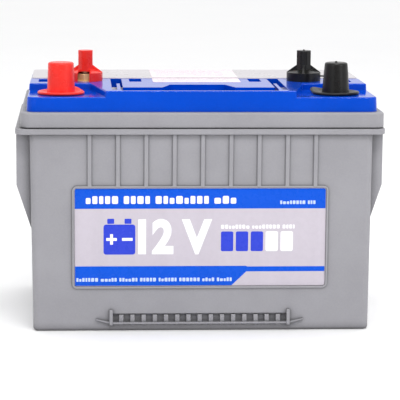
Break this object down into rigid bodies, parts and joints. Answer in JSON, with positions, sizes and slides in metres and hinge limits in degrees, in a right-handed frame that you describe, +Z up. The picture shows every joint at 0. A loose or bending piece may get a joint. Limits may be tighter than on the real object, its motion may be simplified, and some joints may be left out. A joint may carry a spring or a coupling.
{
  "type": "deep cycle battery",
  "caption": "Sealed absorbed-glass-mat marine and caravan battery with a ribbed case, recessed carry handle, post and stud terminals and lift-off caps.",
  "frame": {"origin": "middle of the base, on the surface the battery stands on", "axes": "+X along the length towards the negative terminals, +Y towards the back, +Z up; the big label faces -Y"},
  "size_m": [0.276, 0.172, 0.2058],
  "materials": {
    "case_plastic": "satin",
    "cover_plastic": "gloss",
    "red_vinyl": "satin",
    "black_vinyl": "satin",
    "lead": "satin",
    "stud_steel": "satin",
    "nut_brass": "satin",
    "pin_nylon": "satin",
    "front_label_film": "gloss",
    "white_label_film": "satin",
    "valve_rubber": "matte",
    "seal_rubber": "matte",
    "arrestor_ceramic": "matte",
    "positive_paste": "matte",
    "negative_paste": "matte",
    "glass_mat": "matte"
  },
  "bodies": {
    "battery": {"case": "case_plastic", "lid": "case_plastic", "vent_cover": "case_plastic", "top_cover": "cover_plastic", "handle_pivot_pins": "pin_nylon", "flame_arrestor_discs": "arrestor_ceramic", "post_seal_rings": "seal_rubber", "front_label": "front_label_film", "top_label": "white_label_film", "vent_cover_label": "white_label_film", "positive_terminal_block": "lead", "positive_bushing": "lead", "positive_post": "lead", "positive_stud": "stud_steel", "negative_terminal_block": "lead", "negative_bushing": "lead", "negative_post": "lead", "negative_stud": "stud_steel", "cell_1_positive_plates": "positive_paste", "cell_1_negative_plates": "negative_paste", "cell_1_separators": "glass_mat", "cell_1_straps": "lead", "cell_2_positive_plates": "positive_paste", "cell_2_negative_plates": "negative_paste", "cell_2_separators": "glass_mat", "cell_2_straps": "lead", "cell_3_positive_plates": "positive_paste", "cell_3_negative_plates": "negative_paste", "cell_3_separators": "glass_mat", "cell_3_straps": "lead", "cell_4_positive_plates": "positive_paste", "cell_4_negative_plates": "negative_paste", "cell_4_separators": "glass_mat", "cell_4_straps": "lead", "cell_5_positive_plates": "positive_paste", "cell_5_negative_plates": "negative_paste", "cell_5_separators": "glass_mat", "cell_5_straps": "lead", "cell_6_positive_plates": "positive_paste", "cell_6_negative_plates": "negative_paste", "cell_6_separators": "glass_mat", "cell_6_straps": "lead"},
    "carry_handle": {"carry_handle": "cover_plastic"},
    "positive_post_cap": {"positive_post_cap": "red_vinyl"},
    "positive_stud_cap": {"positive_stud_cap": "red_vinyl"},
    "positive_stud_washer": {"positive_stud_washer": "nut_brass"},
    "positive_stud_nut": {"positive_stud_nut": "nut_brass"},
    "negative_post_cap": {"negative_post_cap": "black_vinyl"},
    "negative_stud_cap": {"negative_stud_cap": "black_vinyl"},
    "negative_stud_washer": {"negative_stud_washer": "nut_brass"},
    "negative_stud_nut": {"negative_stud_nut": "nut_brass"},
    "relief_valve_1": {"relief_valve_1": "valve_rubber"},
    "relief_valve_2": {"relief_valve_2": "valve_rubber"},
    "relief_valve_3": {"relief_valve_3": "valve_rubber"},
    "relief_valve_4": {"relief_valve_4": "valve_rubber"},
    "relief_valve_5": {"relief_valve_5": "valve_rubber"},
    "relief_valve_6": {"relief_valve_6": "valve_rubber"}
  },
  "joints": [
    {"name": "handle_swing", "type": "hinge", "parent": "battery", "child": "carry_handle", "pos_m": [0, 0, 0.1735], "axis": [-1, 0, 0], "range_deg": [0, 105]},
    {"name": "positive_post_cap_lift", "type": "slide", "parent": "battery", "child": "positive_post_cap", "axis": [0, 0, 1], "range_m": [0, 0.04]},
    {"name": "positive_stud_cap_lift", "type": "slide", "parent": "battery", "child": "positive_stud_cap", "axis": [0, 0, 1], "range_m": [0, 0.04]},
    {"name": "positive_nut_travel", "type": "slide", "parent": "battery", "child": "positive_stud_washer", "axis": [0, 0, 1], "range_m": [0, 0.0014]},
    {"name": "positive_nut_spin", "type": "hinge", "parent": "positive_stud_washer", "child": "positive_stud_nut", "pos_m": [-0.0855, -0.002, 0.184], "axis": [0, 0, 1], "range_deg": [0, 359.2]},
    {"name": "negative_post_cap_lift", "type": "slide", "parent": "battery", "child": "negative_post_cap", "axis": [0, 0, 1], "range_m": [0, 0.04]},
    {"name": "negative_stud_cap_lift", "type": "slide", "parent": "battery", "child": "negative_stud_cap", "axis": [0, 0, 1], "range_m": [0, 0.04]},
    {"name": "negative_nut_travel", "type": "slide", "parent": "battery", "child": "negative_stud_washer", "axis": [0, 0, 1], "range_m": [0, 0.0014]},
    {"name": "negative_nut_spin", "type": "hinge", "parent": "negative_stud_washer", "child": "negative_stud_nut", "pos_m": [0.0855, -0.002, 0.184], "axis": [0, 0, 1], "range_deg": [0, 359.2]},
    {"name": "relief_valve_1_lift", "type": "slide", "parent": "battery", "child": "relief_valve_1", "axis": [0, 0, 1], "range_m": [0, 0.0008], "stiffness_N_per_m": 900, "springref_m": -0.001},
    {"name": "relief_valve_2_lift", "type": "slide", "parent": "battery", "child": "relief_valve_2", "axis": [0, 0, 1], "range_m": [0, 0.0008], "stiffness_N_per_m": 900, "springref_m": -0.001},
    {"name": "relief_valve_3_lift", "type": "slide", "parent": "battery", "child": "relief_valve_3", "axis": [0, 0, 1], "range_m": [0, 0.0008], "stiffness_N_per_m": 900, "springref_m": -0.001},
    {"name": "relief_valve_4_lift", "type": "slide", "parent": "battery", "child": "relief_valve_4", "axis": [0, 0, 1], "range_m": [0, 0.0008], "stiffness_N_per_m": 900, "springref_m": -0.001},
    {"name": "relief_valve_5_lift", "type": "slide", "parent": "battery", "child": "relief_valve_5", "axis": [0, 0, 1], "range_m": [0, 0.0008], "stiffness_N_per_m": 900, "springref_m": -0.001},
    {"name": "relief_valve_6_lift", "type": "slide", "parent": "battery", "child": "relief_valve_6", "axis": [0, 0, 1], "range_m": [0, 0.0008], "stiffness_N_per_m": 900, "springref_m": -0.001}
  ],
  "couplings": [
    {"joint": "positive_nut_spin", "follows": "positive_nut_travel", "rad_per_m": 4453},
    {"joint": "negative_nut_spin", "follows": "negative_nut_travel", "rad_per_m": 4453}
  ]
}
